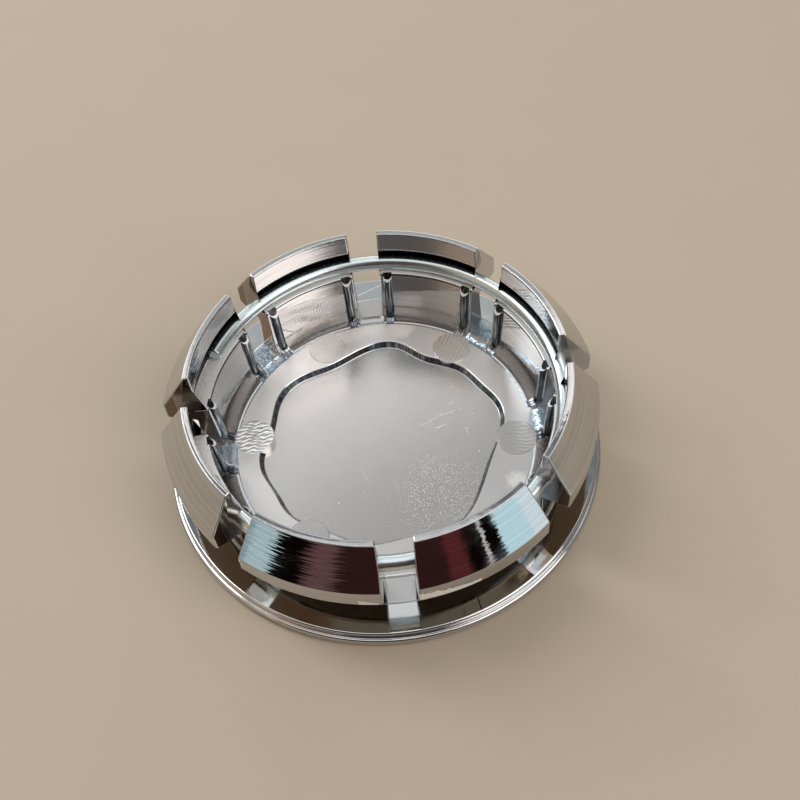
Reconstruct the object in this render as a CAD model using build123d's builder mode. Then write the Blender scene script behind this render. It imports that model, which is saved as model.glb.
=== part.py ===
"""Snap-in wheel centre cap: a plated moulding with eight barbed claws, and a split wire ring.

Millimetres, +Z up. The cap lies on its front face, which is at z = 0, and its claws point up.
Bearings are in degrees, counter-clockwise from +X.
"""
import os
from math import asin, cos, degrees, radians, sin, tan

from build123d import *

# Face disc and rim
rim_radius = 30.0
rim_lip_height = 1.5
rim_shoulder_radius = 29.5
flange_thickness = 2.5
face_edge_fillet = 0.8
rim_edge_break = 0.15

# Floor inside the claws
floor_height = 2.0
floor_corner_fillet = 2.0
wall_foot_radius = 22.55

# Shallow lobed recess in the floor. Each point of its wall, at mid depth, has a bearing and a share
# of the wave's height, from -1 in the deepest dip to 1 on the highest crest.
recess_radius = 16.4
recess_wave_height = 1.05
recess_depth = 0.9
recess_wall_run = 0.5
recess_edge_fillet = 0.25
recess_wall = (
    (11, 0.67),
    (26, -0.05),
    (42, -0.19),
    (56, -1.0),
    (65, -0.95),
    (79, 0.48),
    (90, 0.38),
    (109, -0.9),
    (118, -0.9),
    (132, 0.19),
    (146, 0.71),
    (167, -0.14),
    (185, 1.0),
    (206, 0.48),
    (216, 0.76),
    (236, -0.1),
    (259, 0.19),
    (274, -0.38),
    (301, 0.48),
    (318, -0.57),
    (345, -1.0),
)

# Round ejector-pin marks on the floor
pin_count = 6
pin_radius = 2.85
pin_circle_radius = 18.5
first_pin_bearing = -8.0
pin_proud = 0.06

# Claws
claw_count = 8
first_gap_bearing = -90.0
cap_height = 17.4
tip_inner_radius = 24.25
tip_width = 0.85
tip_edge_break = 0.2
barb_radius = 28.8
barb_top_height = 12.4
barb_land = 2.7
barb_top_fillet = 0.5
barb_bottom_fillet = 0.3
neck_radius = 25.0
neck_top_height = 8.4
neck_root_radius = 25.35

# Gaps between the claws, which widen upwards, and outwards past the middle of the barb
gap_width_at_root = 3.6
gap_draft = 1.5
barb_flare_start_radius = 27.1
barb_flare_angle = 4.0

# Split wire ring, with the ledge and the groove that it sits in
wire_diameter = 2.1
ring_radius = 24.4
ring_start_bearing = 204.0
ring_arc = 311.0
wire_end_chamfer = 0.2
wire_groove_clearance = 0.05
wire_seat_clearance = 0.02
ledge_height = 10.6
ledge_inner_radius = 23.0
groove_height = 3.7
groove_roof_drop = 1.7

# Half-round ribs on the inner wall, one near each end of a claw
rib_radius = 0.65
rib_from_claw_end = 1.2
rib_notch_reach = 0.35

# Worked out from the values above
barb_bottom_height = barb_top_height - barb_land
tip_outer_radius = tip_inner_radius + tip_width
groove_radius = ring_radius + wire_diameter / 2 + wire_groove_clearance
groove_roof_height = ledge_height + groove_height
recess_floor_height = floor_height - recess_depth
wire_height = ledge_height + wire_diameter / 2 + wire_seat_clearance
gap_half_width = gap_width_at_root / 2
gap_start_radius = wall_foot_radius - 2 * floor_corner_fillet
gap_end_radius = barb_radius + gap_half_width
gap_flare = (gap_end_radius - barb_flare_start_radius) * tan(radians(barb_flare_angle))
wall_lean = Vector(ledge_inner_radius - wall_foot_radius, 0, ledge_height - floor_height)
rib_bearing_from_gap = degrees(asin((gap_half_width + rib_from_claw_end) / wall_foot_radius))
notch_drop = 2 * rib_notch_reach + rib_radius

# Corners of the half section that are rounded, and those that are broken: radius, height and size
section_fillets = (
    (rim_radius, 0, face_edge_fillet),
    (barb_radius, barb_bottom_height, barb_bottom_fillet),
    (barb_radius, barb_top_height, barb_top_fillet),
    (wall_foot_radius, floor_height, floor_corner_fillet),
)
section_chamfers = (
    (rim_radius, rim_lip_height, rim_edge_break),
    (rim_shoulder_radius, flange_thickness, rim_edge_break),
    (tip_outer_radius, cap_height, tip_edge_break),
    (tip_inner_radius, cap_height, tip_edge_break),
)


def polar(bearing, radius):
    """Point at a bearing and a radius."""
    return (radius * cos(radians(bearing)), radius * sin(radians(bearing)))


def recess_point(bearing, share, shift):
    """Point of the recess's wall, moved outwards by a shift."""
    return polar(bearing, recess_radius + share * recess_wave_height + shift)


# One rib, leaning with the wall, at bearing 0
with BuildPart() as rib:
    with BuildSketch(Plane(origin=(wall_foot_radius, 0, floor_height), x_dir=(0, 1, 0), z_dir=wall_lean)):
        Circle(rib_radius)
    extrude(amount=wall_lean.length)

# The slanting notch that trims the rib's top and bites into the ledge
with BuildPart() as rib_notch:
    with BuildSketch(Plane.XZ):
        with BuildLine():
            Polyline(
                (ledge_inner_radius + rib_notch_reach + rib_radius, ledge_height + rib_radius),
                (ledge_inner_radius - rib_notch_reach - rib_radius, ledge_height + rib_radius),
                (ledge_inner_radius - rib_notch_reach - rib_radius, ledge_height - notch_drop),
                close=True,
            )
        make_face()
    extrude(amount=rib_radius, both=True)

# The space between two claws, at bearing 0
with BuildPart() as gap:
    with BuildSketch(Plane.XY.offset(flange_thickness)):
        with BuildLine():
            Polyline(
                (gap_start_radius, -gap_half_width),
                (barb_flare_start_radius, -gap_half_width),
                (gap_end_radius, -gap_half_width - gap_flare),
                (gap_end_radius, gap_half_width + gap_flare),
                (barb_flare_start_radius, gap_half_width),
                (gap_start_radius, gap_half_width),
                close=True,
            )
        make_face()
    extrude(amount=cap_height, taper=-gap_draft)

with BuildPart() as cap_body:
    # Half section of the moulding, turned about the axis
    with BuildSketch(Plane.XZ) as section:
        with BuildLine():
            Polyline(
                (0, 0),
                (rim_radius, 0),
                (rim_radius, rim_lip_height),
                (rim_shoulder_radius, rim_lip_height),
                (rim_shoulder_radius, flange_thickness),
                (neck_root_radius, flange_thickness),
                (neck_radius, neck_top_height),
                (barb_radius, barb_bottom_height),
                (barb_radius, barb_top_height),
                (tip_outer_radius, cap_height),
                (tip_inner_radius, cap_height),
                (tip_inner_radius, groove_roof_height),
                (groove_radius, groove_roof_height - groove_roof_drop),
                (groove_radius, ledge_height),
                (ledge_inner_radius, ledge_height),
                (wall_foot_radius, floor_height),
                (0, floor_height),
                close=True,
            )
        make_face()
        for radius, height, size in section_fillets:
            fillet(section.vertices().sort_by_distance((radius, height))[0], size)
        for radius, height, size in section_chamfers:
            chamfer(section.vertices().sort_by_distance((radius, height))[0], size)
    revolve(axis=Axis.Z)

    # Lobed recess with sloping walls
    for height, shift in ((floor_height, recess_wall_run / 2), (recess_floor_height, -recess_wall_run / 2)):
        with BuildSketch(Plane.XY.offset(height)):
            with BuildLine():
                Spline([recess_point(bearing, share, shift) for bearing, share in recess_wall], periodic=True)
            make_face()
    loft(mode=Mode.SUBTRACT)
    recess_rim = cap_body.edges().filter_by(GeomType.BSPLINE).sort_by(Axis.Z)[-1]
    fillet(recess_rim, recess_edge_fillet)

    # Ejector-pin marks, a little proud of the floor
    with BuildSketch(Plane.XY.offset(recess_floor_height)):
        with PolarLocations(pin_circle_radius, pin_count, start_angle=first_pin_bearing):
            Circle(pin_radius)
    extrude(amount=recess_depth + pin_proud)

    # Ribs, with their notched tops, on both sides of each gap
    for side in (-1, 1):
        with PolarLocations(0, claw_count, start_angle=first_gap_bearing + side * rib_bearing_from_gap):
            add(rib.part)
            add(rib_notch.part, mode=Mode.SUBTRACT)

    # Gaps that part the wall into claws, down to the flange
    with PolarLocations(0, claw_count, start_angle=first_gap_bearing):
        add(gap.part, mode=Mode.SUBTRACT)

# Split ring of round wire with trimmed ends
ring_x = Vector(*polar(ring_start_bearing, 1))
with BuildPart() as retaining_ring:
    with BuildSketch(Plane(origin=(0, 0, wire_height), x_dir=ring_x, z_dir=ring_x.rotate(Axis.Z, -90))):
        with Locations((ring_radius, 0)):
            Circle(wire_diameter / 2)
    revolve(axis=Axis.Z, revolution_arc=ring_arc)
    chamfer(retaining_ring.edges().filter_by(GeomType.CIRCLE), wire_end_chamfer)

cap_body.part.label = "cap_body"
retaining_ring.part.label = "retaining_ring"

os.makedirs("parts", exist_ok=True)
export_step(cap_body.part, "parts/cap_body.step")
export_step(retaining_ring.part, "parts/retaining_ring.step")
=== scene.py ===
"""Looks of a snap-in wheel centre cap: a bright-plated moulding with barbed claws, and a wire ring.

Sizes are in millimetres and become metres where a mesh is made. The cards and the camera are placed in
metres. Bearings are in degrees, counter-clockwise from +X.
"""
import math
from functools import cached_property

import bmesh
import bpy
import numpy as np
from mathutils import Matrix, Vector


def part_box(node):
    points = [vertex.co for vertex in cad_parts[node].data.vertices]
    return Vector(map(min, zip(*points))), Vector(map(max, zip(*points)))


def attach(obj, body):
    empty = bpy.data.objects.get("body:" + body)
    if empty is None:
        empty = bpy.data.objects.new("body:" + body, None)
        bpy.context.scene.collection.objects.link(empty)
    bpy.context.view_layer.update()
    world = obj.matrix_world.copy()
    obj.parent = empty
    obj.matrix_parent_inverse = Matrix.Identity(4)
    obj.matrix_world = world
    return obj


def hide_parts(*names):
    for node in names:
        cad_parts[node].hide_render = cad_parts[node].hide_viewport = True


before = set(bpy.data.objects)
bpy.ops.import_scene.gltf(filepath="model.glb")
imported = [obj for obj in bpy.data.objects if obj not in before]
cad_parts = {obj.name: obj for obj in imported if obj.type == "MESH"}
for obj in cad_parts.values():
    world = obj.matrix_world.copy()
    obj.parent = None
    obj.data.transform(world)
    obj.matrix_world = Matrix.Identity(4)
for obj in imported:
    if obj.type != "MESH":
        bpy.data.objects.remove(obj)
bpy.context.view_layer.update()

MM = 0.001
FULL_TURN = 2 * math.pi
TINY = 1e-9

# Face disc, rim and floor
RIM_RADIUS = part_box("cap_body")[1].x / MM
RIM_LIP_HEIGHT = 1.5
RIM_SHOULDER_RADIUS = 29.5
RIM_SHOULDER_ROUNDING = 0.1
FLANGE_HEIGHT = 2.5
FACE_EDGE_RADIUS = 0.8
RIM_EDGE_RADIUS = 0.28
FLOOR_HEIGHT = 2.0
FLOOR_CORNER_RADIUS = 2.0
WALL_FOOT_RADIUS = 22.55
FACE_MIDDLE_RADIUS = 0.02

# Lobed recess in the floor: bearing and share of the wave at each crest, dip and bend
RECESS_RADIUS = 16.4
RECESS_WAVE = 1.05
RECESS_DEPTH = 0.9
RECESS_WALL_RUN = 0.5
RECESS_EDGE_RADIUS = 0.28
RECESS_FOOT_ROUNDING = 0.12
RECESS_FLOOR = FLOOR_HEIGHT - RECESS_DEPTH
RECESS_WALL = (
    (11, 0.67), (26, -0.05), (42, -0.19), (56, -1.0), (65, -0.95), (79, 0.48), (90, 0.38),
    (109, -0.9), (118, -0.9), (132, 0.19), (146, 0.71), (167, -0.14), (185, 1.0), (206, 0.48),
    (216, 0.76), (236, -0.1), (259, 0.19), (274, -0.38), (301, 0.48), (318, -0.57), (345, -1.0),
)
# How far the rows that follow the recess's wall reach to both sides of it
RECESS_REACH = 1.0
# Band of the recess's wall with a painted dark reflection: its distance from the recess's floor and from the
# cap's floor
RECESS_BAND_FOOT = 0.1
RECESS_BAND_TOP = 0.12

# Ejector-pin marks
PIN_COUNT = 6
PIN_RADIUS = 2.85
PIN_CIRCLE_RADIUS = 18.5
FIRST_PIN_BEARING = -8.0
PIN_PROUD = 0.06
PIN_SUNK = 0.1
PIN_ROUNDING = 0.1
PIN_MIDDLE_RADIUS = 0.05
# Pitch, bearing, height and waviness of the tool ridges on each mark, and whether the mark is bright
PIN_RIDGES = (
    (0.6, -8.0, 0.014, 1.0, False), (0.55, 60.0, 0.055, 0.3, True), (0.33, 115.0, 0.02, 1.0, False),
    (0.6, -6.0, 0.05, 1.3, True), (0.6, 30.0, 0.003, 1.0, False), (0.5, 0.0, 0.003, 1.0, False),
)
# Waves of the ridges: strength, and rate along and across them
RIDGE_WAVES = ((0.22, 1.9, 1.0), (0.12, 4.7, -2.3))
RIDGE_SWELL = 0.25
RIDGE_SWELL_RATE = 3.1
# Distances from a mark's edge between which its ridges rise to their full height
RIDGE_FADE = (0.05, 0.35)

# Pale patches painted as glare on the frosted floor round the recess: place and radius, and their ragged
# fringe
GLARE_PATCHES = ((-3.0, 19.4, 2.4), (4.2, 19.4, 2.6), (17.5, -9.5, 2.2))
GLARE_FRINGE = 2.4

# Scuffed patch on the recess's floor: place, distances at which it starts and is full, and ragged fringe
SCUFF_PLACE = (6.5, -9.5)
SCUFF_START = 11.5
SCUFF_FULL = 4.0
SCUFF_FRINGE = 4.0
# Scratches on the recess's floor: both ends and strength
SCRATCHES = (
    (5.56, 1.9, 8.19, 3.24, 0.6), (8.19, 3.24, 10.37, 3.74, 0.8), (7.41, 1.14, 8.82, 1.64, 0.9),
    (9.57, 4.97, 10.34, 5.42, 0.9), (11.6, 0.6, 11.7, -0.3, 0.7), (-3.58, -4.41, -2.91, -6.45, 0.3),
    (4.6, -4.6, 5.5, -7.0, 0.35), (7.2, -5.0, 7.8, -6.1, 0.4),
)
SCRATCH_WIDTH = 0.08

# Chipped stretches of the front barbs' lower edge: start and end along X, and height at the start
CHIPS = ((1.7, 9.7, 1.7), (-5.0, -2.6, 1.0))
# Share of a chip's height that is left at its end, and share that isn't ragged
CHIP_TAPER = 0.4
CHIP_EVEN_SHARE = 0.5
# How far chips reach at least above the edge, at most below it, and inwards from the barb
CHIP_RISE = 0.1
CHIP_DROP = 0.5
CHIP_REACH = 2.5

# Pale scratch in the back gap and dark crack on the flange
GAP_SCRATCH = (-1.71, 26.57, 1.73, 28.1)
GAP_SCRATCH_WIDTH = 0.13
FLANGE_CRACK = (9.41, -25.9, 9.72, -27.62)
FLANGE_CRACK_WIDTH = 0.1

# Claws
CLAW_COUNT = 8
FIRST_GAP_BEARING = -90.0
CAP_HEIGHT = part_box("cap_body")[1].z / MM
TIP_INNER_RADIUS = 24.25
TIP_OUTER_RADIUS = 25.1
TIP_ROUNDING = 0.2
LIP_ROUNDING = 0.22
BARB_RADIUS = 28.8
BARB_TOP = 12.4
BARB_TOP_ROUNDING = 0.45
BARB_BOTTOM = 9.7
BARB_BOTTOM_ROUNDING = 0.3
NECK_RADIUS = 25.0
NECK_TOP = 8.4
NECK_ROUNDING = 0.5
NECK_ROOT_RADIUS = 25.35
CLAW_EDGE_RADIUS = 0.2
# Height at which a claw's foot ends inside the base, and how far its outside moves in on the way
SUNK_HEIGHT = 1.5
SUNK_INSET = 0.1

# Raised witness line on the flange at the claws' foot
WITNESS_HEIGHT = 0.05
WITNESS_HALF_WIDTH = 0.14
WITNESS_TOP_HALF = 0.08

# Gaps between the claws
GAP_HALF_WIDTH = 1.8
GAP_DRAFT = math.tan(math.radians(1.5))
GAP_EDGE_RUN = 0.2
FLARE_RADIUS = 27.1
FLARE = math.tan(math.radians(4.0))
# The gaps' floor is crystalline inside this radius
FROST_RADIUS = NECK_ROOT_RADIUS - 0.2

# Wire ring, its ledge and its groove
WIRE_RADIUS = 1.05
WIRE_CLEARANCE = 0.02
RING_RADIUS = 24.4
RING_START = 204.0
RING_ARC = 311.0
LEDGE_HEIGHT = 10.6
LEDGE_INNER_RADIUS = 23.0
LEDGE_ROUNDING = 0.2
LEDGE_EDGE_REACH = 0.3
GROOVE_RADIUS = 25.5
GROOVE_ROOF_INNER = 14.3
GROOVE_ROOF_OUTER = 12.6
GROOVE_ROUNDING = 0.2
WIRE_HEIGHT = LEDGE_HEIGHT + WIRE_RADIUS + WIRE_CLEARANCE
# Trimmed ends of the wire: distance from the end and share of the wire's radius
WIRE_END = ((0.0, 0.7), (0.0, 0.82), (0.06, 0.95), (0.15, 1.0), (0.2, 1.0))
WIRE_END_REACH = 0.4

# Ribs
RIB_RADIUS = 0.65
RIB_FROM_CLAW_END = 1.2
RIB_NOTCH_REACH = 0.35
RIB_NOTCH_MARGIN = 0.1
# Wall's radius about half way up, where a rib has its full width
RIB_WALL_RADIUS = WALL_FOOT_RADIUS + 0.25

HALF_PITCH = math.pi / CLAW_COUNT
RIB_BEARING = HALF_PITCH - math.asin((GAP_HALF_WIDTH + RIB_FROM_CLAW_END) / WALL_FOOT_RADIUS)
WALL_SLOPE = (LEDGE_INNER_RADIUS - WALL_FOOT_RADIUS) / (LEDGE_HEIGHT - FLOOR_HEIGHT)
WALL_LEAN = math.atan(WALL_SLOPE)
# Middle of the rounding between the floor and the wall, and the turn at which it ends on a claw
CORNER_RADIUS = WALL_FOOT_RADIUS + FLOOR_CORNER_RADIUS * (WALL_SLOPE - 1 / math.cos(WALL_LEAN))
CORNER_HEIGHT = FLOOR_HEIGHT + FLOOR_CORNER_RADIUS
CORNER_END = math.radians(84.3)

# Rows and columns of the meshes, some as shares of a stretch
BASE_COLUMNS = 440
GAP_CORNER_ROWS = 9
RECESS_ROW_SHARES = (0.97, 0.8, 0.6, 0.4, 0.2, 0.02)
CLAW_MIDDLE_COLUMNS = 13
RIB_COLUMNS = 17
CLAW_SIDE_SHARES = (0, 0.4, 0.97)
CLAW_EDGE_STEPS = 4
EDGE_ROWS = 9
WALL_SHARES = (0, 0.3, 0.7, 1)
CORNER_ROWS = 13
PIN_COLUMNS = 200
PIN_ROWS = 44
WIRE_COLUMNS = 40
RING_STATIONS = 260
SMOOTH_ANGLE = math.radians(38)
# Length of the flat stretches that keep a straight run straight where it meets a rounding
HOLD = 0.04
END_HOLD = 0.03
FLOOR_HOLD = 0.1

# Material numbers of the moulding, in the order of the list that make_cap gets
STREAKED, SMOOTH, ANNULUS, RECESS, CAVITY, CLAW_END, BRIGHT, RIB, CORNER, FROST, NECK = range(11)

# Corners of a claw's section whose roundings get a painted highlight
BRIGHT_EDGES = ((TIP_OUTER_RADIUS, CAP_HEIGHT), (TIP_INNER_RADIUS, GROOVE_ROOF_INNER))
# How near a face has to be to a corner, to the ledge and to a floor to get its material
NEAR_CORNER = 0.1
NEAR_LEDGE = 0.02
NEAR_FLOOR = 0.01
# How far the painted dark reflection under a barb stays from the barb's edge
BARB_EDGE_WIDTH = 0.4


def rounded(points, steps=6):
    """Dense open line through (radius, height, corner radius) points, with each corner rounded.

    Straight stretches get a point close to each end, which keeps them flat where they meet a rounding.
    """
    line = [np.array(points[0][:2], float)]
    for before, here, after in zip(points, points[1:], points[2:]):
        corner = np.array(here[:2], float)
        radius = here[2]
        if radius <= 0:
            line.append(corner)
            continue
        to_before = np.array(before[:2], float) - corner
        to_after = np.array(after[:2], float) - corner
        to_before /= np.linalg.norm(to_before)
        to_after /= np.linalg.norm(to_after)
        half = math.acos(np.clip(to_before @ to_after, -1, 1)) / 2
        turn = math.pi - 2 * half
        reach = radius / math.tan(half)
        middle = to_before + to_after
        centre = corner + middle / np.linalg.norm(middle) * radius / math.sin(half)
        start = corner + to_before * reach - centre
        end = corner + to_after * reach - centre
        line.append(centre + start + to_before * HOLD)
        for step in range(steps + 1):
            share = step / steps
            arc = start * math.sin((1 - share) * turn) + end * math.sin(share * turn)
            line.append(centre + arc / math.sin(turn))
        line.append(centre + end + to_after * HOLD)
    line.append(np.array(points[-1][:2], float))
    return np.array(line)


def lengths_along(line):
    """Length of a line from its start to each of its points."""
    return np.concatenate([[0], np.cumsum(np.linalg.norm(np.diff(line, axis=0), axis=1))])


def even_turns(count):
    """Angles of columns spread evenly over a full turn."""
    return np.arange(count) * FULL_TURN / count


def smooth_step(low, high, value):
    """Share of a value's way from low to high, with soft ends."""
    share = np.clip((value - low) / (high - low), 0, 1)
    return share * share * (3 - 2 * share)


def to_space(radius, bearing, height):
    """Stack cylindrical coordinates into points in metres."""
    return np.stack([radius * np.cos(bearing), radius * np.sin(bearing), height], -1) * MM


class MeshBuild:
    """Vertices, faces, texture places and material numbers gathered for one mesh."""

    def __init__(self):
        self.points = []
        self.faces = []
        self.places = []
        self.materials = []
        self.count = 0

    def add_points(self, points):
        """Add points in metres and give their numbers."""
        points = np.asarray(points).reshape(-1, 3)
        first = self.count
        self.points.append(points)
        self.count += len(points)
        return np.arange(first, first + len(points))

    def add_face(self, corners, places, material=0):
        """Add a face between numbered points, with the texture place of each corner."""
        self.faces.append([int(corner) for corner in corners])
        self.places.append(places)
        self.materials.append(material)

    def add_cap(self, corners, material=0):
        """Add a flat face that closes a round row, with no texture."""
        self.add_face(corners, [(0.0, 0.0)] * len(corners), material)

    def add_grid(self, numbers, u, v, close_u=False, close_v=False, material=0):
        """Faces of a grid of point numbers; u and v are the texture places of its columns and rows.

        The material is a number, or an array with one for each face.
        """
        columns, rows = numbers.shape
        chosen = np.broadcast_to(material, numbers.shape)
        for i in range(columns - (0 if close_u else 1)):
            i2 = (i + 1) % columns
            for j in range(rows - (0 if close_v else 1)):
                j2 = (j + 1) % rows
                corners = (numbers[i, j], numbers[i2, j], numbers[i2, j2], numbers[i, j2])
                places = ((u[i], v[j]), (u[i + 1], v[j]), (u[i + 1], v[j + 1]), (u[i], v[j + 1]))
                self.add_face(corners, places, int(chosen[i, j]))

    def make(self, name, materials):
        """Make an object of the faces, with normals that point out and sharp edges left sharp."""
        mesh = bpy.data.meshes.new(name)
        mesh.from_pydata(np.concatenate(self.points).tolist(), [], self.faces)
        layer = mesh.uv_layers.new(name="surface_mm")
        places = np.array([place for face in self.places for place in face], np.float32)
        layer.data.foreach_set("uv", places.ravel())
        mesh.polygons.foreach_set("material_index", self.materials)
        for material in materials:
            mesh.materials.append(material)
        work = bmesh.new()
        work.from_mesh(mesh)
        bmesh.ops.recalc_face_normals(work, faces=work.faces)
        work.to_mesh(mesh)
        work.free()
        mesh.shade_smooth()
        mesh.set_sharp_from_angle(angle=SMOOTH_ANGLE)
        return link_object(name, mesh)


def link_object(name, data):
    """Object with a mesh or other data, put in the scene."""
    made = bpy.data.objects.new(name, data)
    bpy.context.scene.collection.objects.link(made)
    return made


def gap_half_width(radius, height):
    """Half the gap between two claws at a radius and a height."""
    rise = np.maximum(height - FLANGE_HEIGHT, 0)
    return GAP_HALF_WIDTH + rise * GAP_DRAFT + np.maximum(radius - FLARE_RADIUS, 0) * FLARE


def claw_end(radius, height):
    """Bearing of a claw's end face from the claw's middle, in radians."""
    return HALF_PITCH - np.arcsin(gap_half_width(radius, height) / radius)


def wall_radius(height):
    """Radius of the leaning inner wall at a height."""
    return WALL_FOOT_RADIUS + (height - FLOOR_HEIGHT) * WALL_SLOPE


def height_on_line(radius, start, end):
    """Height at a radius on the straight line between two (radius, height) points."""
    return start[1] + (radius - start[0]) / (end[0] - start[0]) * (end[1] - start[1])


def outer_outline():
    """Outside, tip and groove of a claw's section, from the outer foot to the ledge."""
    neck_top = (NECK_RADIUS, NECK_TOP)
    barb_bottom = (BARB_RADIUS, BARB_BOTTOM)
    barb_top = (BARB_RADIUS, BARB_TOP)
    tip = (TIP_OUTER_RADIUS, CAP_HEIGHT)
    return rounded((
        (NECK_ROOT_RADIUS - SUNK_INSET, SUNK_HEIGHT, 0),
        (NECK_ROOT_RADIUS, FLANGE_HEIGHT, 0),
        (*neck_top, NECK_ROUNDING),
        (FLARE_RADIUS, height_on_line(FLARE_RADIUS, neck_top, barb_bottom), 0),
        (*barb_bottom, BARB_BOTTOM_ROUNDING),
        (*barb_top, BARB_TOP_ROUNDING),
        (FLARE_RADIUS, height_on_line(FLARE_RADIUS, barb_top, tip), 0),
        (*tip, TIP_ROUNDING),
        (TIP_INNER_RADIUS, CAP_HEIGHT, TIP_ROUNDING),
        (TIP_INNER_RADIUS, GROOVE_ROOF_INNER, LIP_ROUNDING),
        (GROOVE_RADIUS, GROOVE_ROOF_OUTER, GROOVE_ROUNDING),
        (GROOVE_RADIUS, LEDGE_HEIGHT, GROOVE_ROUNDING),
        (LEDGE_INNER_RADIUS + RIB_NOTCH_REACH + RIB_NOTCH_MARGIN, LEDGE_HEIGHT, 0),
    ))


def ledge_edge(rib, notched):
    """Inner edge of the ledge: rounded, or slanting down to a rib where it is notched."""
    if notched:
        top = np.array((LEDGE_INNER_RADIUS + RIB_NOTCH_REACH, LEDGE_HEIGHT))
        drop = RIB_NOTCH_REACH + rib
        return top - np.linspace(0, 1, EDGE_ROWS)[:, None] * drop
    foot = (LEDGE_INNER_RADIUS - LEDGE_EDGE_REACH * WALL_SLOPE, LEDGE_HEIGHT - LEDGE_EDGE_REACH)
    return rounded((
        (LEDGE_INNER_RADIUS + LEDGE_EDGE_REACH, LEDGE_HEIGHT, 0),
        (LEDGE_INNER_RADIUS, LEDGE_HEIGHT, LEDGE_ROUNDING),
        (*foot, 0),
    ), steps=EDGE_ROWS - 5)


def inner_outline(rib, top):
    """Inner wall from a height down, moved in by a rib's swelling, and the rounding at its foot."""
    turn = np.linspace(-WALL_LEAN, CORNER_END, CORNER_ROWS)
    corner = np.stack([CORNER_RADIUS + FLOOR_CORNER_RADIUS * np.cos(turn),
                       CORNER_HEIGHT - FLOOR_CORNER_RADIUS * np.sin(turn)], -1)
    low = corner[0, 1] + FLOOR_HOLD
    heights = top - np.array(WALL_SHARES) * (top - low)
    wall = np.stack([wall_radius(heights) - rib, heights], -1)
    corner[:, 0] = np.minimum(corner[:, 0], wall_radius(corner[:, 1]) - rib)
    foot = np.array(((corner[-1, 0], SUNK_HEIGHT),))
    return np.concatenate([wall, corner, foot])


def claw_section(rib=0.0, notched=False):
    """Closed outline of a claw, outer foot first, with the inner wall moved in by a rib's swelling."""
    edge = ledge_edge(rib, notched)
    return np.concatenate([outer_outline(), edge, inner_outline(rib, edge[-1, 1] - HOLD)])


def unit(vectors):
    """Vectors scaled to a length of one."""
    return vectors / np.maximum(np.linalg.norm(vectors, axis=1, keepdims=True), TINY)


def left_of(directions):
    """Directions turned left by a quarter turn."""
    return np.stack([-directions[:, 1], directions[:, 0]], -1)


def inward(outline):
    """Way into the material at each point of a closed outline, which moves the edges beside it in by one.

    At sharp corners it is kept to twice that.
    """
    after = unit(np.roll(outline, -1, 0) - outline)
    across = unit(left_of(after + np.roll(after, 1, 0)))
    slant = np.maximum(np.abs(np.sum(across * left_of(after), 1)), 1 / 2)
    x, y = outline.T
    area = np.sum(x * np.roll(y, -1) - np.roll(x, -1) * y)
    return across * math.copysign(1, area) / slant[:, None]


def claw_columns():
    """Outline, bearings and whether a rib is there, for one claw's columns from its middle to one end."""
    plain = claw_section()
    rib_half = math.asin(RIB_RADIUS / RIB_WALL_RADIUS)
    one = np.ones(len(plain))
    middle = np.linspace(0, RIB_BEARING - rib_half, CLAW_MIDDLE_COLUMNS)
    columns = [(plain, one * bearing, False) for bearing in middle]
    for turn in np.linspace(0, math.pi, RIB_COLUMNS):
        section = claw_section(RIB_RADIUS * math.sin(turn), True)
        columns.append((section, one * (RIB_BEARING - rib_half * math.cos(turn)), True))
    start = RIB_BEARING + rib_half
    end = claw_end(plain[:, 0], plain[:, 1])
    near = end - CLAW_EDGE_RADIUS / plain[:, 0]
    for share in CLAW_SIDE_SHARES:
        columns.append((plain, start + share * (near - start), False))
    for step in range(CLAW_EDGE_STEPS + 2):
        turn = min(step / CLAW_EDGE_STEPS, 1) * math.pi / 2
        inset = CLAW_EDGE_RADIUS * (1 - math.cos(turn))
        if step > CLAW_EDGE_STEPS:
            inset += END_HOLD
        side = CLAW_EDGE_RADIUS * (1 - math.sin(turn))
        columns.append((plain + inward(plain) * inset, end - side / plain[:, 0], False))
    return columns


def claw_materials(columns):
    """Material number of each face of a claw: one row of numbers for each column."""
    plain = claw_section()
    closed = np.vstack([plain, plain[:1]])
    radius, height = ((closed[1:] + closed[:-1]) / 2).T
    across = np.full(len(plain), STREAKED)
    under_barb = (radius > NECK_RADIUS - NEAR_CORNER) & (radius < BARB_RADIUS - BARB_EDGE_WIDTH)
    # Painted dark reflection under the barbs
    across[under_barb & (height < BARB_BOTTOM)] = NECK
    in_groove = (radius > TIP_INNER_RADIUS + 2 * NEAR_CORNER) & (radius < GROOVE_RADIUS + NEAR_CORNER)
    # Painted shade inside the groove
    across[in_groove & (height > LEDGE_HEIGHT + NEAR_CORNER) & (height < GROOVE_ROOF_INNER)] = CAVITY
    on_ledge = radius > LEDGE_INNER_RADIUS + NEAR_CORNER
    across[on_ledge & (np.abs(height - LEDGE_HEIGHT) < NEAR_LEDGE)] = BRIGHT
    # Painted shade: a dark line runs under the ledge's edge; painted highlight: a thin bright line where the
    # rounding meets the floor
    corner = len(plain) - CORNER_ROWS - 1
    wall = corner - len(WALL_SHARES)
    across[wall - 4:wall - 1] = CAVITY
    across[corner:] = CORNER
    across[-3] = BRIGHT
    # Painted highlights on the claws' rounded edges
    for place in BRIGHT_EDGES:
        across[np.hypot(radius - place[0], height - place[1]) < NEAR_CORNER] = BRIGHT
    # A rib's notch gets painted shade, with a painted highlight on its lower edge, and the rib a painted
    # dark reflection
    on_rib = across.copy()
    on_rib[wall - EDGE_ROWS:wall - 3] = CAVITY
    on_rib[wall - 3:wall] = BRIGHT
    on_rib[wall:-1] = RIB
    both = [ribbed and after for (_, _, ribbed), (_, _, after) in zip(columns, columns[1:])]
    return np.array([on_rib if ribbed else across for ribbed in both + [False]])


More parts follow.
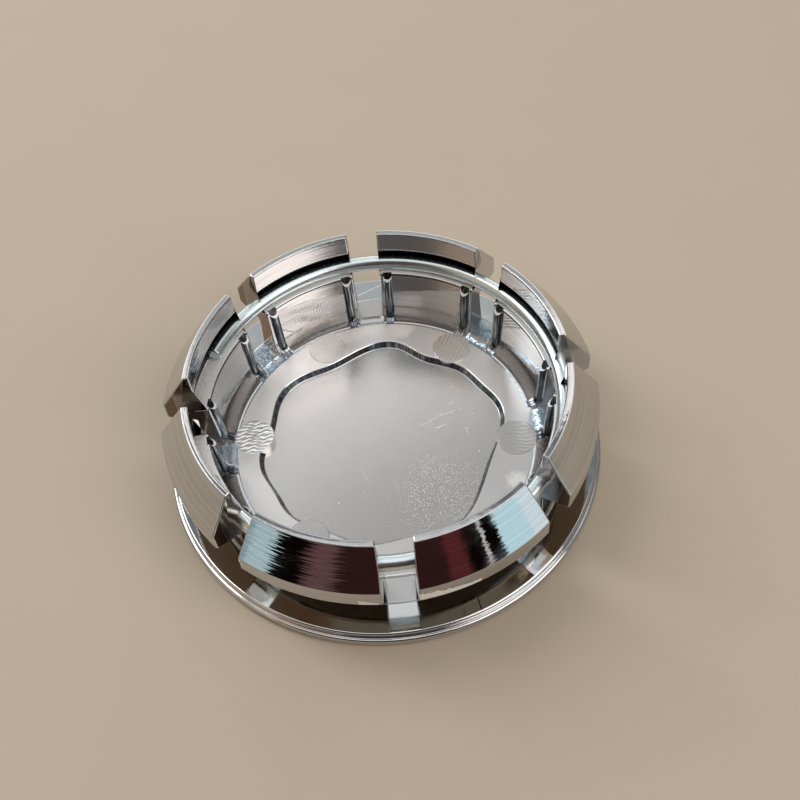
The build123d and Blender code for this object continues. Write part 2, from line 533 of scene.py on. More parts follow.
def add_claws(build):
    """Add the claws: rings of columns whose end faces bend where the gap starts to flare."""
    half = claw_columns()
    columns = [(section, -bearing, ribbed) for section, bearing, ribbed in reversed(half[1:])] + half
    materials = claw_materials(columns)
    plain = claw_section()
    along = lengths_along(np.vstack([plain, plain[:1]]))
    bends = np.flatnonzero(np.abs(plain[:, 0] - FLARE_RADIUS) < TINY)
    low, high = bends.min(), bends.max()
    rows = np.arange(len(plain))
    end_faces = (rows[low:high + 1], np.append(rows[high:], rows[:low + 1]))
    for claw in range(CLAW_COUNT):
        middle = math.radians(FIRST_GAP_BEARING) + HALF_PITCH * (2 * claw + 1)
        numbers = np.array([
            build.add_points(to_space(section[:, 0], middle + bearing, section[:, 1]))
            for section, bearing, _ in columns
        ])
        across = np.array([(middle + np.mean(bearing)) * NECK_RADIUS for _, bearing, _ in columns])
        build.add_grid(numbers, across, along, close_v=True, material=materials)
        for end in (numbers[0], numbers[-1]):
            for face in end_faces:
                build.add_face(end[face], [tuple(plain[row]) for row in face], CLAW_END)


def recess_edge(bearings):
    """Radius of the recess's wall at mid depth: a closed cubic spline through RECESS_WALL."""
    knots = np.radians([bearing for bearing, _ in RECESS_WALL])
    radii = RECESS_RADIUS + RECESS_WAVE * np.array([share for _, share in RECESS_WALL])
    count = len(knots)
    spans = np.diff(np.append(knots, knots[0] + FULL_TURN))
    slopes = (np.roll(radii, -1) - radii) / spans
    matrix = np.zeros((count, count))
    for i in range(count):
        matrix[i, i - 1] += spans[i - 1]
        matrix[i, i] += 2 * (spans[i - 1] + spans[i])
        matrix[i, (i + 1) % count] += spans[i]
    bends = np.linalg.solve(matrix, 6 * (slopes - np.roll(slopes, 1)))
    angle = np.mod(bearings - knots[0], FULL_TURN) + knots[0]
    start = np.clip(np.searchsorted(knots, angle, side="right") - 1, 0, count - 1)
    end = (start + 1) % count
    span = spans[start]
    gone = (angle - knots[start]) / span
    left = 1 - gone
    straight = left * radii[start] + gone * radii[end]
    return straight + ((left**3 - left) * bends[start] + (gone**3 - gone) * bends[end]) * span**2 / 6


def base_material(radius, height):
    """Material number of the base at a mean radius and a height."""
    # The witness line gets a painted highlight
    if abs(radius - NECK_ROOT_RADIUS) < WITNESS_HALF_WIDTH and height > FLANGE_HEIGHT:
        return BRIGHT
    if CORNER_RADIUS < radius < FROST_RADIUS:
        return FROST
    if radius > CORNER_RADIUS or height < RECESS_FLOOR - NEAR_FLOOR:
        return SMOOTH
    if height > FLOOR_HEIGHT - NEAR_FLOOR:
        return ANNULUS
    if height < RECESS_FLOOR + NEAR_FLOOR:
        return RECESS
    # A band of the recess's wall gets a painted dark reflection
    in_band = RECESS_FLOOR + RECESS_BAND_FOOT < height < FLOOR_HEIGHT - RECESS_BAND_TOP
    return RIB if in_band else SMOOTH


def base_outline():
    """Section of the base from the middle of the front face, round the rim, to the foot of the wall."""
    witness_top = FLANGE_HEIGHT + WITNESS_HEIGHT
    return rounded((
        (FACE_MIDDLE_RADIUS, 0, 0),
        (RIM_RADIUS, 0, FACE_EDGE_RADIUS),
        (RIM_RADIUS, RIM_LIP_HEIGHT, RIM_EDGE_RADIUS),
        (RIM_SHOULDER_RADIUS, RIM_LIP_HEIGHT, RIM_SHOULDER_ROUNDING),
        (RIM_SHOULDER_RADIUS, FLANGE_HEIGHT, RIM_EDGE_RADIUS),
        (NECK_ROOT_RADIUS + WITNESS_HALF_WIDTH, FLANGE_HEIGHT, 0),
        (NECK_ROOT_RADIUS + WITNESS_TOP_HALF, witness_top, 0),
        (NECK_ROOT_RADIUS - WITNESS_TOP_HALF, witness_top, 0),
        (NECK_ROOT_RADIUS - WITNESS_HALF_WIDTH, FLANGE_HEIGHT, 0),
        (FROST_RADIUS, FLANGE_HEIGHT, 0),
        (WALL_FOOT_RADIUS, FLANGE_HEIGHT, 0),
    ), steps=5)


def recess_outline():
    """Section of the recess's edge, with its distance outwards from the middle of the recess's wall."""
    half_run = RECESS_WALL_RUN / 2
    return rounded((
        (RECESS_REACH, FLOOR_HEIGHT, 0),
        (half_run, FLOOR_HEIGHT, RECESS_EDGE_RADIUS),
        (-half_run, RECESS_FLOOR, RECESS_FOOT_ROUNDING),
        (-RECESS_REACH, RECESS_FLOOR, 0),
    ))


def base_rows(bearings):
    """Radii and heights of the base's rows, from the front face's middle to the recess's middle."""
    one = np.ones(BASE_COLUMNS)
    rows = [(one * radius, height) for radius, height in base_outline()]
    from_gap = bearings - math.radians(FIRST_GAP_BEARING) + HALF_PITCH
    offset = np.mod(from_gap, 2 * HALF_PITCH) - HALF_PITCH
    start = math.asin((CORNER_HEIGHT - FLANGE_HEIGHT) / FLOOR_CORNER_RADIUS)
    for turn in np.linspace(start, math.pi / 2, GAP_CORNER_ROWS):
        radius = CORNER_RADIUS + FLOOR_CORNER_RADIUS * math.cos(turn)
        rise = FLOOR_CORNER_RADIUS * (1 - math.sin(turn))
        aside = np.abs(np.sin(offset)) * radius
        in_gap = 1 - smooth_step(GAP_HALF_WIDTH, GAP_HALF_WIDTH + GAP_EDGE_RUN, aside)
        rows.append((one * radius, FLOOR_HEIGHT + rise * in_gap))
    rows.append((one * (CORNER_RADIUS - FLOOR_HOLD), FLOOR_HEIGHT))
    wall = recess_edge(bearings)
    rows += [(wall + aside, height) for aside, height in recess_outline()]
    rows += [((wall - RECESS_REACH) * share, RECESS_FLOOR) for share in RECESS_ROW_SHARES]
    return rows


def add_base(build):
    """Add the face disc, the rim, the flange and the floor with its recess."""
    bearings = even_turns(BASE_COLUMNS)
    rows = base_rows(bearings)
    level = np.zeros(BASE_COLUMNS)
    numbers = np.array([
        build.add_points(to_space(radius, bearings, level + height)) for radius, height in rows
    ]).T
    across = np.append(bearings, FULL_TURN) * NECK_RADIUS
    section = np.array([(np.mean(radius), np.mean(height)) for radius, height in rows])
    materials = [base_material(*place) for place in (section[1:] + section[:-1]) / 2]
    materials.append(materials[-1])
    build.add_grid(numbers, across, lengths_along(section), close_u=True, material=materials)
    for row, material in ((0, SMOOTH), (-1, RECESS)):
        build.add_cap(numbers[:, row], material)


def make_cap(materials):
    """The moulding, without its pin marks."""
    build = MeshBuild()
    add_base(build)
    add_claws(build)
    return build.make("cap_shell", materials)


def ridges(x, y, pitch, bearing, height, waviness):
    """Height of wavy tool ridges that run along a bearing."""
    turn = math.radians(bearing)
    along = x * math.cos(turn) + y * math.sin(turn)
    aside = y * math.cos(turn) - x * math.sin(turn)
    wave = waviness * sum(
        strength * np.sin(along * rate_along + aside * rate_across)
        for strength, rate_along, rate_across in RIDGE_WAVES
    )
    swell = 1 - RIDGE_SWELL + RIDGE_SWELL * np.sin(along * RIDGE_SWELL_RATE + aside)
    return height * swell * np.sin(FULL_TURN * (aside / pitch + wave))


def make_pins(materials):
    """Round pin marks that stand on the recess's floor and end just above the cap's floor."""
    build = MeshBuild()
    turn = even_turns(PIN_COLUMNS)
    top = FLOOR_HEIGHT + PIN_PROUD
    profile = rounded((
        (PIN_RADIUS, RECESS_FLOOR - PIN_SUNK, 0),
        (PIN_RADIUS, top, PIN_ROUNDING),
        (PIN_MIDDLE_RADIUS, top, 0),
    ), steps=5)
    inner = np.linspace(profile[-2, 0], PIN_MIDDLE_RADIUS, PIN_ROWS)[1:]
    rows = np.vstack([profile[:-1], np.stack([inner, np.full(len(inner), top)], -1)])
    fade_start, fade_end = (PIN_RADIUS - distance for distance in RIDGE_FADE)
    for pin, (*ridge, bright) in enumerate(PIN_RIDGES):
        bearing = math.radians(FIRST_PIN_BEARING + pin * 360 / PIN_COUNT)
        place = (PIN_CIRCLE_RADIUS * math.cos(bearing), PIN_CIRCLE_RADIUS * math.sin(bearing), 0)
        numbers = []
        for radius, height in rows:
            x = radius * np.cos(turn)
            y = radius * np.sin(turn)
            share = smooth_step(fade_start, fade_end, radius)
            points = np.stack([x, y, height + share * ridges(x, y, *ridge)], -1)
            numbers.append(build.add_points((points + place) * MM))
        numbers = np.array(numbers).T
        kind = 0 if bright else 1
        along = np.arange(len(rows) + 1.0)
        build.add_grid(numbers, np.append(turn, FULL_TURN), along, close_u=True, material=kind)
        for row in (0, -1):
            build.add_cap(numbers[:, row], kind)
    return build.make("pin_marks", materials)


def make_ring(material):
    """Split wire ring with trimmed ends."""
    build = MeshBuild()
    turn = even_turns(WIRE_COLUMNS)
    start = math.radians(RING_START)
    length = math.radians(RING_ARC) * RING_RADIUS
    middle = np.linspace(WIRE_END_REACH, length - WIRE_END_REACH, RING_STATIONS)
    stations = [*WIRE_END, *((distance, 1.0) for distance in middle)]
    stations += [(length - distance, size) for distance, size in reversed(WIRE_END)]
    numbers = []
    for distance, size in stations:
        radius = RING_RADIUS + WIRE_RADIUS * size * np.cos(turn)
        height = WIRE_HEIGHT + WIRE_RADIUS * size * np.sin(turn)
        bearing = np.full(WIRE_COLUMNS, start + distance / RING_RADIUS)
        numbers.append(build.add_points(to_space(radius, bearing, height)))
    numbers = np.array(numbers)
    along = np.array([distance for distance, _ in stations])
    build.add_grid(numbers, along, np.append(turn, FULL_TURN) * WIRE_RADIUS, close_v=True)
    for column in (0, -1):
        build.add_cap(numbers[column])
    return build.make("wire_ring", [material])


class Finish:
    """Material with a Principled shader, and short ways to add nodes to it. Its lengths are millimetres."""

    def __init__(self, name, colour, roughness, metallic=1.0):
        self.material = bpy.data.materials.new(name)
        self.material.use_nodes = True
        self.nodes = self.material.node_tree.nodes
        self.links = self.material.node_tree.links
        self.shader = self.nodes["Principled BSDF"]
        self.set("Base Color", (*colour, 1))
        self.set("Roughness", roughness)
        self.set("Metallic", metallic)

    def put(self, socket, value):
        """Set a socket to a value, or link it."""
        if isinstance(value, bpy.types.NodeSocket):
            self.links.new(value, socket)
        else:
            socket.default_value = value

    def set(self, name, value):
        """Set or link one of the shader's inputs."""
        self.put(self.shader.inputs[name], value)

    def add(self, kind, output, settings=None, **inputs):
        """Add a node and give one of its outputs. An input is named, or numbered like _2."""
        node = self.nodes.new("ShaderNode" + kind)
        for name, value in (settings or {}).items():
            setattr(node, name, value)
        for name, value in inputs.items():
            self.put(node.inputs[int(name[1:]) if name[1:].isdigit() else name], value)
        return node.outputs[output]

    def operate(self, kind, operation, values, output):
        """Add a node that works an operation on values."""
        node = self.nodes.new("ShaderNode" + kind)
        node.operation = operation
        for socket, value in zip(node.inputs, values):
            self.put(socket, value)
        return node.outputs[output]

    def math(self, operation, *values):
        """Operation on numbers."""
        return self.operate("Math", operation, values, "Value")

    def vector(self, operation, *values, output="Vector"):
        """Operation on vectors."""
        return self.operate("VectorMath", operation, values, output)

    def scale(self, vector, factor):
        """Vector times a number."""
        return self.add("VectorMath", "Vector", {"operation": "SCALE"}, Vector=vector, Scale=factor)

    @cached_property
    def place(self):
        """Place on the cap in millimetres."""
        return self.vector("MULTIPLY", self.add("TexCoord", "Object"), (1 / MM, 1 / MM, 1 / MM))

    def axis(self, name):
        """One coordinate of the place."""
        return self.add("SeparateXYZ", name, Vector=self.place)

    def radius(self):
        """Distance from the cap's axis."""
        level = self.vector("MULTIPLY", self.place, (1.0, 1.0, 0.0))
        return self.vector("LENGTH", level, output="Value")

    def distance(self, *point):
        """Distance of the place from a point."""
        return self.vector("DISTANCE", self.place, point, output="Value")

    def noise(self, scale, detail=2.0, roughness=0.5, place=None):
        """Soft noise from 0 to 1 over the place, or over another one."""
        place = self.place if place is None else place
        return self.add("TexNoise", "Fac", Vector=place, Scale=scale, Detail=detail, Roughness=roughness)

    def streaks(self, across, along, detail=2.0, roughness=0.5):
        """Noise over the surface, scaled across and along the section."""
        surface = self.add("UVMap", "UV", {"uv_map": "surface_mm"})
        scaled = self.vector("MULTIPLY", surface, (across, along, 1.0))
        return self.noise(1.0, detail, roughness, scaled)

    def between(self, value, low, high, start=0.0, end=1.0):
        """Map a value's range to another one, smoothly and with limits."""
        limits = {"From Min": low, "From Max": high, "To Min": start, "To Max": end}
        return self.add("MapRange", "Result", {"interpolation_type": "SMOOTHSTEP"}, Value=value, **limits)

    def mix(self, share, first, second):
        """Blend of two colours, each a tuple or an output.

        The node's colour sockets share their names with others, so they are taken by number.
        """
        first, second = ((*colour, 1) if isinstance(colour, tuple) else colour for colour in (first, second))
        return self.add("Mix", 2, {"data_type": "RGBA"}, _0=share, _6=first, _7=second)

    def product(self, *values):
        """Several numbers multiplied."""
        result = values[0]
        for value in values[1:]:
            result = self.math("MULTIPLY", result, value)
        return result

    def stroke(self, ends, height, width):
        """Thin straight mark between two points at a height."""
        start = (*ends[:2], height)
        end = (*ends[2:], height)
        run = tuple(b - a for a, b in zip(start, end))
        share = self.vector("DOT_PRODUCT", self.vector("SUBTRACT", self.place, start), run, output="Value")
        share = self.math("DIVIDE", share, sum(c * c for c in run))
        share.node.use_clamp = True
        nearest = self.vector("ADD", self.scale(run, share), start)
        away = self.vector("DISTANCE", self.place, nearest, output="Value")
        return self.between(away, width, width / 2)

    def specks(self, scale, size, share):
        """Round specks: one in some cells of a cell pattern."""
        distance = self.add("TexVoronoi", "Distance", Vector=self.place, Scale=scale)
        chance = self.add("SeparateColor", "Red", Color=distance.node.outputs["Color"])
        chosen = self.math("GREATER_THAN", chance, 1 - share)
        return self.product(self.between(distance, size, size / 2), chosen)

    def leaned(self, lean):
        """Surface normal that leans by a vector."""
        return self.vector("NORMALIZE", self.vector("ADD", self.add("NewGeometry", "Normal"), lean))

    def bump(self, height, distance, normal=None):
        """Shade with a bump of a full height in millimetres, over a normal if one is given."""
        bumped = self.add("Bump", "Normal", Height=height, Distance=distance * MM)
        if normal is not None:
            self.put(bumped.node.inputs["Normal"], normal)
        self.set("Normal", bumped)

    def wear_and_glare(self, marks, colour, metallic=1.0):
        """Show marks as bare, dull and pale spots in plating of a colour: worn spots, and on the floors also
        painted glare.
        """
        self.set("Base Color", self.mix(marks, colour, WORN_AND_GLARE))
        self.set("Metallic", self.product(self.math("SUBTRACT", 1.0, marks), metallic))


# Colours of the plating and the floor
PLATING = (0.6, 0.61, 0.62)
DIM_PLATING = (0.5, 0.51, 0.52)
CORNER_PLATING = (0.55, 0.53, 0.52)
SATIN = (0.71, 0.7, 0.695)
FROSTED = (0.9, 0.89, 0.88)
# Pale colour of worn spots, also used for painted glare on the floors
WORN_AND_GLARE = (0.93, 0.93, 0.92)
CRACKED = (0.03, 0.03, 0.03)
# Sparkle of the rough ledge, also used for painted highlights
SPARKLING = (0.93, 0.93, 0.93)
# Painted dark reflection on the ribs and the recess's wall
SLATE_DARK = (0.07, 0.085, 0.1)
SLATE_LIGHT = (0.42, 0.48, 0.52)
# Painted shade in the grooves and corners
CAVITY_DARK = (0.02, 0.022, 0.025)
CAVITY_LIGHT = (0.16, 0.18, 0.2)
# Painted dark reflection on the left claws' end faces
END_SHADE_INNER = (0.38, 0.34, 0.31)
END_SHADE_OUTER = (0.24, 0.18, 0.13)
# Painted dark reflection under the barbs
NECK_SIDE_SHADE = (0.1, 0.1, 0.105)
NECK_RAMP_SHADE = (0.22, 0.17, 0.12)
FROST_GREY = (0.54, 0.54, 0.54)
FROST_BLUE = (0.38, 0.48, 0.56)
RIDGED = (0.86, 0.86, 0.85)
WIRE = (0.72, 0.81, 0.83)
GROUND_DARK = (0.49, 0.42, 0.325)
GROUND_LIGHT = (0.51, 0.44, 0.345)
# The floor's plating has its full colour in this direction and is dimmed by painted shade to this share at
# the other end
PAINTED_SHADE_AXIS = (-0.4, 0.9, 0.0)
PAINTED_SHADE_SHARE = 0.6
PAINTED_SHADE_REACH = 15.0


def chipped_edge(finish):
    """Ragged chips along the front barbs' lower edge."""
    x, y, z = (finish.axis(name) for name in "XYZ")
    ragged = finish.noise(scale=2.6, detail=3.0, roughness=0.7)
    marks = 0.0
    for start, end, tall in CHIPS:
        reach = finish.between(x, start, end, tall, tall * CHIP_TAPER)
        ragged_top = finish.math("ADD", finish.product(ragged, reach), BARB_BOTTOM + CHIP_RISE)
        top = finish.math("ADD", ragged_top, finish.product(reach, CHIP_EVEN_SHARE))
        chips = finish.product(
            finish.math("LESS_THAN", z, top),
            finish.math("GREATER_THAN", x, start),
            finish.math("LESS_THAN", x, end),
            finish.math("LESS_THAN", y, CHIP_REACH - BARB_RADIUS),
            finish.math("GREATER_THAN", z, BARB_BOTTOM - CHIP_DROP),
        )
        marks = finish.math("MAXIMUM", marks, chips)
    return marks


def streaked_plating():
    """Bright plating of the claws: fine streaks round the cap shake the reflections, most on the left."""
    finish = Finish("streaked_plating", PLATING, roughness=0.06)
    fine = finish.streaks(across=0.03, along=4.5, detail=1.0, roughness=0.65)
    reach = finish.between(finish.axis("X"), -12.0, 8.0, start=0.2, end=0.045)
    tilt = finish.product(finish.math("SUBTRACT", fine, 0.5), reach)
    tangent = finish.add("Tangent", "Tangent", {"direction_type": "UV_MAP", "uv_map": "surface_mm"})
    shaken = finish.leaned(finish.scale(tangent, tilt))
    finish.bump(finish.noise(scale=0.55), 0.012, shaken)
    haze = finish.noise(scale=0.35, detail=3.0)
    finish.set("Roughness", finish.between(haze, 0.35, 0.75, start=0.03, end=0.12))
    tone = finish.between(finish.streaks(across=0.04, along=2.5), 0.3, 0.7)
    finish.wear_and_glare(chipped_edge(finish), finish.mix(tone, DIM_PLATING, PLATING))
    return finish.material


def smooth_plating():
    """Bright plating of the flange, the rim and the front face, with a crack and a scratch."""
    finish = Finish("smooth_plating", PLATING, roughness=0.06)
    finish.bump(finish.noise(scale=0.4), 0.01)
    haze = finish.noise(scale=0.5, detail=3.0)
    finish.set("Roughness", finish.between(haze, 0.35, 0.75, start=0.04, end=0.11))
    crack = finish.stroke(FLANGE_CRACK, FLANGE_HEIGHT, FLANGE_CRACK_WIDTH)
    scratch = finish.stroke(GAP_SCRATCH, FLANGE_HEIGHT, GAP_SCRATCH_WIDTH)
    finish.wear_and_glare(scratch, finish.mix(crack, PLATING, CRACKED))
    return finish.material


def painted_glare_patches(finish):
    """Ragged pale patches on the floor round the recess, painted as glare."""
    marks = 0.0
    for x, y, size in GLARE_PATCHES:
        fringe = finish.product(finish.noise(scale=1.1, detail=3.0, roughness=0.7), GLARE_FRINGE)
        ragged = finish.math("ADD", finish.distance(x, y, FLOOR_HEIGHT), fringe)
        patch = finish.between(ragged, size + GLARE_FRINGE / 2, size - 0.4, end=0.75)
        marks = finish.math("MAXIMUM", marks, patch)
    return marks


def scuffs(finish):
    """Scuffed patch and scratches on the recess's floor."""
    fringe = finish.product(finish.noise(scale=0.35, detail=3.0), SCUFF_FRINGE)
    ragged = finish.math("ADD", finish.distance(*SCUFF_PLACE, RECESS_FLOOR), fringe)
    grit = finish.specks(scale=4.5, size=0.38, share=0.6)
    marks = finish.product(finish.between(ragged, SCUFF_START, SCUFF_FULL), grit)
    for *ends, strength in SCRATCHES:
        scratch = finish.stroke(ends, RECESS_FLOOR, SCRATCH_WIDTH)
        marks = finish.math("MAXIMUM", marks, finish.product(scratch, strength))
    return marks


def satin_plating(name, colour, roughness, metallic, grain, speck_share, wear_and_glare):
    """Plating over a finely grained mould face, with dust specks, a function's pale marks, and painted shade
    that darkens it towards the front.
    """
    finish = Finish(name, colour, roughness)
    finish.bump(finish.noise(scale=7.0, roughness=0.6), grain)
    specks = finish.specks(scale=1.7, size=0.14, share=speck_share)
    marks = finish.math("MAXIMUM", specks, wear_and_glare(finish))
    # Painted shade: the colour darkens towards the front
    across = finish.vector("DOT_PRODUCT", finish.place, PAINTED_SHADE_AXIS, output="Value")
    painted_shade_colour = tuple(PAINTED_SHADE_SHARE * part for part in colour)
    bright = finish.between(across, -PAINTED_SHADE_REACH, PAINTED_SHADE_REACH)
    finish.wear_and_glare(marks, finish.mix(bright, painted_shade_colour, colour), metallic)
    return finish.material


def shaded_cavity_finish():
    """Plating deep in corners and grooves, painted dark as painted shade."""
    finish = Finish("cavity", CAVITY_LIGHT, roughness=0.35)
    streaks = finish.streaks(across=3.0, along=0.6)
    finish.set("Base Color", finish.mix(finish.between(streaks, 0.45, 0.75), CAVITY_DARK, CAVITY_LIGHT))
    return finish.material


def shaded_claw_end_finish():
    """Plating of a claw's end faces, painted brown and dark on the left claws as painted dark reflection,
    darkest towards the barb.
    """
    finish = Finish("claw_end", PLATING, roughness=0.14)
    outer = finish.between(finish.radius(), FLARE_RADIUS - 0.02, FLARE_RADIUS + 0.05)
    right = finish.between(finish.axis("X"), -0.5, 0.5)
    end_shade = finish.mix(outer, END_SHADE_INNER, END_SHADE_OUTER)
    finish.set("Base Color", finish.mix(right, end_shade, PLATING))
    return finish.material


def sparkle_and_highlight_finish():
    """Rough, sparkling plating of the ledge; on the rib tops, the claws' rounded edges and thin moulding
    lines it is a painted highlight. Dimmer at the front.
    """
    finish = Finish("bright_edge", SPARKLING, roughness=0.4)
    grain = finish.noise(scale=3.0, detail=3.0, roughness=0.7)
    finish.bump(grain, 0.05)
    front = finish.between(finish.axis("Y"), -10.0, -18.0)
    finish.set("Base Color", finish.mix(front, SPARKLING, DIM_PLATING))
    sparkle = finish.between(grain, 0.35, 0.65, start=0.5, end=0.0)
    finish.set("Metallic", finish.math("MAXIMUM", front, sparkle))
    return finish.material


def shaded_rib_finish():
    """Slate-coloured painted dark reflection on the ribs and on a band of the recess's wall, streaked from
    top to foot.
    """
    finish = Finish("rib", SLATE_LIGHT, roughness=0.18)
    streaks = finish.streaks(across=4.0, along=0.25, detail=3.0)
    finish.set("Base Color", finish.mix(finish.between(streaks, 0.4, 0.7), SLATE_DARK, SLATE_LIGHT))
    return finish.material


def corner_finish():
    """Plating of the rounding at the wall's foot, shaded as if more upright, with tool marks across it."""
    finish = Finish("corner", DIM_PLATING, roughness=0.16)
    inwards = finish.vector("NORMALIZE", finish.vector("MULTIPLY", finish.place, (-1.0, -1.0, 0.0)))
    hatch = finish.streaks(across=5.0, along=0.6, roughness=0.6)
    finish.bump(hatch, 0.03, finish.leaned(inwards))
    finish.wear_and_glare(finish.specks(scale=1.8, size=0.16, share=0.14), CORNER_PLATING)
    return finish.material


def shaded_neck_finish():
    """Plating under the barbs, painted darker and brown as painted dark reflection."""
    finish = Finish("neck", NECK_SIDE_SHADE, roughness=0.08)
    finish.bump(finish.noise(scale=0.5), 0.012)
    ramp = finish.between(finish.axis("Z"), NECK_TOP - 0.1, NECK_TOP + 0.1)
    finish.set("Base Color", finish.mix(ramp, NECK_SIDE_SHADE, NECK_RAMP_SHADE))
    return finish.material


def frost_finish():
    """Bluish, crystalline plating at the inner ends of the side gaps, plain in the front and back ones."""
    finish = Finish("frost", PLATING, roughness=0.25, metallic=0.8)
    side = finish.between(finish.math("ABSOLUTE", finish.axis("X")), 7.0, 11.0)
    waves = finish.noise(scale=0.5)
    share = finish.product(side, finish.between(waves, 0.32, 0.5))
    cells = finish.add("TexVoronoi", "Color", Vector=finish.place, Scale=4.0)
    crystals = finish.vector("SUBTRACT", cells, (0.5, 0.5, 0.5))
    facets = finish.leaned(finish.scale(crystals, finish.product(share, 0.22)))
    finish.bump(waves, 0.01, facets)
    finish.set("Base Color", finish.mix(share, FROST_GREY, FROST_BLUE))
    return finish.material


def pin_finish():
    """Bright plating over tool ridges."""
    finish = Finish("pin_mark", RIDGED, roughness=0.16, metallic=0.65)
    finish.bump(finish.noise(scale=4.0), 0.015)
    return finish.material


def wire_finish():
    """Bluish plated spring wire with drawn lines."""
    finish = Finish("plated_wire", WIRE, roughness=0.26)
    finish.bump(finish.streaks(across=0.2, along=6.0), 0.01)
    return finish.material


def floor_finish():
    """Plain pale floor with a faint change of tone."""
    finish = Finish("pale_floor", GROUND_LIGHT, roughness=0.75, metallic=0.0)
    tone = finish.noise(scale=0.05, detail=4.0)
    finish.set("Base Color", finish.mix(tone, GROUND_DARK, GROUND_LIGHT))
    return finish.material


def make_sheet(name, half_width, half_height, material):
    """Flat sheet that faces +Z, with sizes in metres."""
    mesh = bpy.data.meshes.new(name)
    signs = ((-1, -1), (1, -1), (1, 1), (-1, 1))
    mesh.from_pydata([(x * half_width, y * half_height, 0) for x, y in signs], [], [(0, 1, 2, 3)])
    mesh.materials.append(material)
    return link_object(name, mesh)


FLOOR_HALF_SIZE = 2.0
STUDIO_GREY = (0.27, 0.26, 0.25)
AIM = Vector((0, 0, 0.008))

# Lit and dark cards round the cap, as a shiny object has in a studio. Each has a name, its azimuth from
# the front (positive to the right), its elevation, its width and height as angles, its radiance, its
# distance in metres and, where its sides fade, the share of its width over which they do.
CARDS = (
    ("ceiling", 180, 88, 52, 44, (1.05, 1.1, 1.1), 0.9),
    ("key", 180, 24, 56, 14, (2.0, 1.97, 1.94), 0.7),
    ("back_low", 180, 42, 44, 16, (0.56, 0.6, 0.6), 0.8),
    ("back_middle", 180, 53.5, 50, 7, (1.4, 1.34, 1.3), 0.8),
    ("back_dim", 180, 60, 60, 6, (0.22, 0.24, 0.25), 0.8),
    ("back_high", 180, 69, 70, 12, (0.92, 0.92, 0.92), 0.8),
    ("window_left", -128, 40, 17, 50, (5.0, 5.05, 5.1), 0.7),
    ("wall_left", -74, 50, 50, 36, (0.62, 0.42, 0.27), 0.9),
    ("flag_upper", -12, 48, 62, 34, (0.05, 0.036, 0.032), 0.85),
    ("window_right", 53, 44, 38, 36, (3.0, 2.72, 2.55), 0.7),
    ("wall_right_high", 125, 52, 70, 24, (0.2, 0.19, 0.19), 0.9),
    ("wall_right_low", 125, 18, 84, 44, (0.28, 0.23, 0.2), 0.9),
    ("left_low", -101, 2, 36, 20, (0.3, 0.26, 0.22), 0.5),
    ("left_front", -75, 8, 18, 24, (0.66, 0.62, 0.55), 0.52),
    ("pane_far_left", -66, 8, 14, 24, (0.36, 0.5, 0.55), 0.71),
    ("pane_left", -57, 8, 12, 24, (0.6, 0.78, 0.8), 0.7, 0.2),
    ("flag_front", -2, 11, 104, 38, (0.004, 0.002, 0.002), 0.9),
    ("glow_left", -31.5, 11, 18, 34, (0.17, 0.085, 0.085), 0.87, 0.7),
    ("glow_middle", -2, 11, 52, 36, (0.042, 0.014, 0.014), 0.88, 0.3),
    ("glow_right", 24, 11, 12, 34, (0.13, 0.028, 0.03), 0.87, 0.6),
    ("slit_right", 36.5, 8, 1.6, 24, (0.76, 0.72, 0.68), 0.7),
    ("pane_right", 51, 8, 16, 24, (0.78, 1.08, 1.16), 0.72, 0.1),
    ("pane_far_right", 61, 8, 10, 24, (1.0, 1.15, 1.2), 0.7),
    ("right_front", 77, 8, 20, 24, (0.21, 0.28, 0.31), 0.52),
    ("right_low", 104, 2, 36, 20, (0.24, 0.2, 0.155), 0.5),
)


def towards(azimuth, elevation):
    """Unit vector from the cap at an azimuth from the front and an elevation, in degrees."""
    turn = math.radians(azimuth)
    rise = math.radians(elevation)
    return Vector((math.sin(turn) * math.cos(rise), -math.cos(turn) * math.cos(rise), math.sin(rise)))


def card_finish(name, radiance, fade):
    """Even light, with sides that fade over a share of the card's width where asked."""
    finish = Finish(name, radiance, roughness=1.0, metallic=0.0)
    light = finish.add("Emission", "Emission", Color=(*radiance, 1))
    if fade:
        sideways = finish.add("SeparateXYZ", "X", Vector=finish.add("TexCoord", "Generated"))
        from_middle = finish.math("ABSOLUTE", finish.math("SUBTRACT", sideways, 0.5))
        lit = finish.between(finish.math("SUBTRACT", 0.5, from_middle), 0, fade / 2)
        clear = finish.add("BsdfTransparent", "BSDF")
        light = finish.add("MixShader", "Shader", _0=lit, _1=clear, _2=light)
    finish.put(finish.nodes["Material Output"].inputs["Surface"], light)
    finish.nodes.remove(finish.shader)
    return finish.material


def make_card(name, azimuth, elevation, width, height, radiance, distance, fade=0):
    """Card that gives off light and faces the cap, out of the camera's sight."""
    half_width = distance * math.tan(math.radians(width) / 2)
    half_height = distance * math.tan(math.radians(height) / 2)
    card = make_sheet(name, half_width, half_height, card_finish(name, radiance, fade))
    place = AIM + distance * towards(azimuth, elevation)
    turn = (AIM - place).to_track_quat("-Z", "Y")
    card.matrix_world = Matrix.Translation(place) @ turn.to_matrix().to_4x4()
    card.visible_camera = False


def make_studio():
    """Floor, even grey surroundings and the cards."""
    floor = make_sheet("floor", FLOOR_HALF_SIZE, FLOOR_HALF_SIZE, floor_finish())
    world = bpy.data.worlds.new("studio")
    bpy.context.scene.world = world
    world.use_nodes = True
    sky = world.node_tree.nodes["Background"]
    sky.inputs["Color"].default_value = (*STUDIO_GREY, 1)
    sky.inputs["Strength"].default_value = 1.0
    for settings in CARDS:
        make_card(*settings)


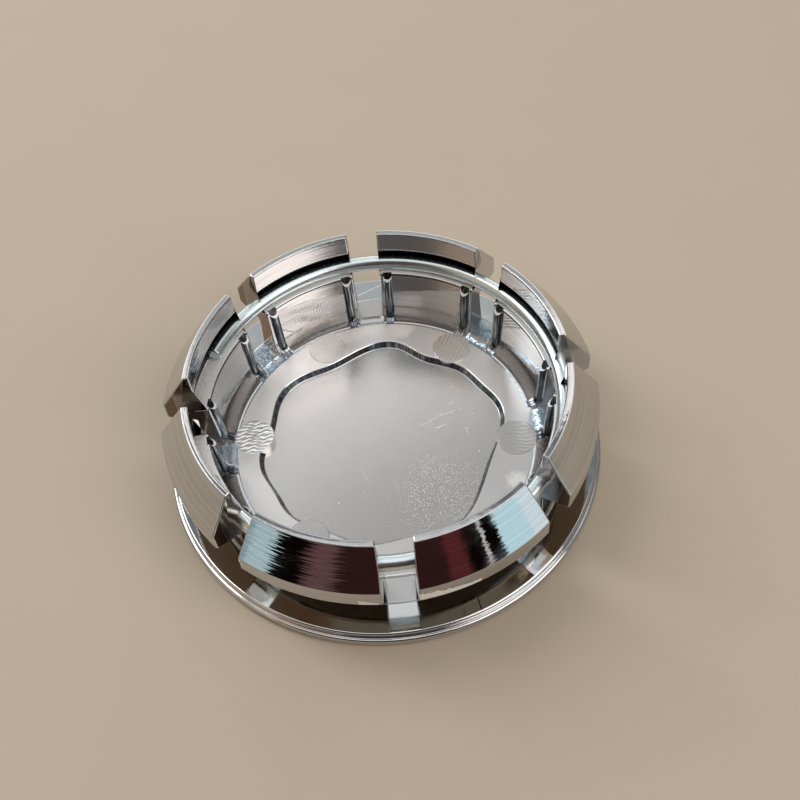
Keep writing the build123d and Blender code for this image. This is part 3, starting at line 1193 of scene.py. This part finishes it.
# Camera of the photo: angles in degrees, lengths in metres
CAMERA_AZIMUTH = -0.83
CAMERA_ELEVATION = 54.07
CAMERA_DISTANCE = 0.14635
CAMERA_ROLL = 5.95
CAMERA_TARGET = Vector((0.002828, 0.007529, 0.0))
CAMERA_CLIP_START = 0.005
FOCAL_PIXELS = 999.53
FRAME_PIXELS = 800


def make_camera():
    """Camera that sees the cap as the photo does."""
    back = towards(CAMERA_AZIMUTH, CAMERA_ELEVATION)
    level = Vector((0, 0, 1)).cross(back).normalized()
    upright = back.cross(level)
    roll = math.radians(CAMERA_ROLL)
    right = level * math.cos(roll) - upright * math.sin(roll)
    up = level * math.sin(roll) + upright * math.cos(roll)
    data = bpy.data.cameras.new("camera")
    data.sensor_fit = "HORIZONTAL"
    data.lens = data.sensor_width * FOCAL_PIXELS / FRAME_PIXELS
    data.clip_start = CAMERA_CLIP_START
    camera = link_object("camera", data)
    turn = Matrix((right, up, back)).transposed().to_4x4()
    camera.matrix_world = Matrix.Translation(CAMERA_TARGET + back * CAMERA_DISTANCE) @ turn
    bpy.context.scene.camera = camera


bpy.context.scene.view_settings.view_transform = "Standard"
cap = make_cap([
    streaked_plating(),
    smooth_plating(),
    satin_plating("annulus", FROSTED, roughness=0.38, metallic=0.65, grain=0.02, speck_share=0.14,
                  wear_and_glare=painted_glare_patches),
    satin_plating("recess", SATIN, roughness=0.24, metallic=0.82, grain=0.014, speck_share=0.12,
                  wear_and_glare=scuffs),
    shaded_cavity_finish(),
    shaded_claw_end_finish(),
    sparkle_and_highlight_finish(),
    shaded_rib_finish(),
    corner_finish(),
    frost_finish(),
    shaded_neck_finish(),
])
pins = make_pins([
    pin_finish(),
    satin_plating("dull_pin_mark", SATIN, roughness=0.25, metallic=0.6, grain=0.014, speck_share=0.1,
                  wear_and_glare=painted_glare_patches),
])
ring = make_ring(wire_finish())
for piece, node, slot in ((cap, "cap_body", "bright_plating"), (pins, "cap_body", "bright_plating"),
                          (ring, "retaining_ring", "spring_wire")):
    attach(piece, "root")
    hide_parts(node)
make_studio()
make_camera()
